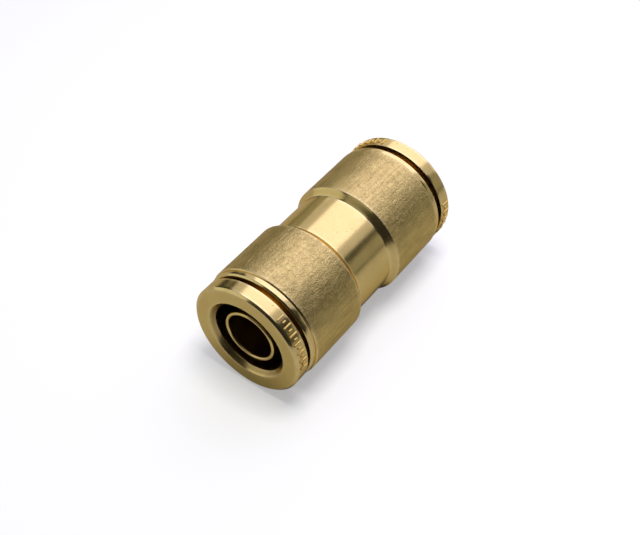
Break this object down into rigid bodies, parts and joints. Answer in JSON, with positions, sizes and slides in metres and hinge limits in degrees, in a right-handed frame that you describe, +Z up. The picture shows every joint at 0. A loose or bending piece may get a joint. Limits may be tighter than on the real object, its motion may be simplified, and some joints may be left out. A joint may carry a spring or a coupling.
{
  "type": "push to connect fitting",
  "caption": "Straight push to connect tube union: round brass body with a neck, a push-to-release flanged button and an inner tube support at each end.",
  "frame": {"origin": "middle of the fitting, on its axis", "axes": "+X along the axis, from end a to end b; +Z up as it lies on its side"},
  "size_m": [0.043, 0.0206, 0.0206],
  "materials": {
    "body_brass": "drawn bar on the two sections, turned on the neck",
    "turned_brass": "bright turned",
    "button_brass": "matte face, bright band",
    "collet_steel": "spring steel",
    "seal_rubber": "nitrile"
  },
  "bodies": {
    "union": {"body": "body_brass", "retaining_collar_a": "turned_brass", "retaining_collar_b": "turned_brass", "seal_spacer_a": "turned_brass", "seal_spacer_b": "turned_brass", "tube_seal_a": "seal_rubber", "tube_seal_b": "seal_rubber", "tube_support_a": "turned_brass", "tube_support_b": "turned_brass"},
    "collet_a": {"collet_a": "collet_steel"},
    "collet_b": {"collet_b": "collet_steel"},
    "button_a": {"release_button_a": "button_brass"},
    "button_b": {"release_button_b": "button_brass"}
  },
  "joints": [
    {"name": "release_a", "type": "slide", "parent": "union", "child": "collet_a", "axis": [1, 0, 0], "range_m": [0, 0.00077]},
    {"name": "turn_a", "type": "hinge", "parent": "collet_a", "child": "button_a", "pos_m": [-0.017, 0, 0], "axis": [1, 0, 0], "continuous": true},
    {"name": "release_b", "type": "slide", "parent": "union", "child": "collet_b", "axis": [-1, 0, 0], "range_m": [0, 0.00077]},
    {"name": "turn_b", "type": "hinge", "parent": "collet_b", "child": "button_b", "pos_m": [0.017, 0, 0], "axis": [1, 0, 0], "continuous": true}
  ]
}
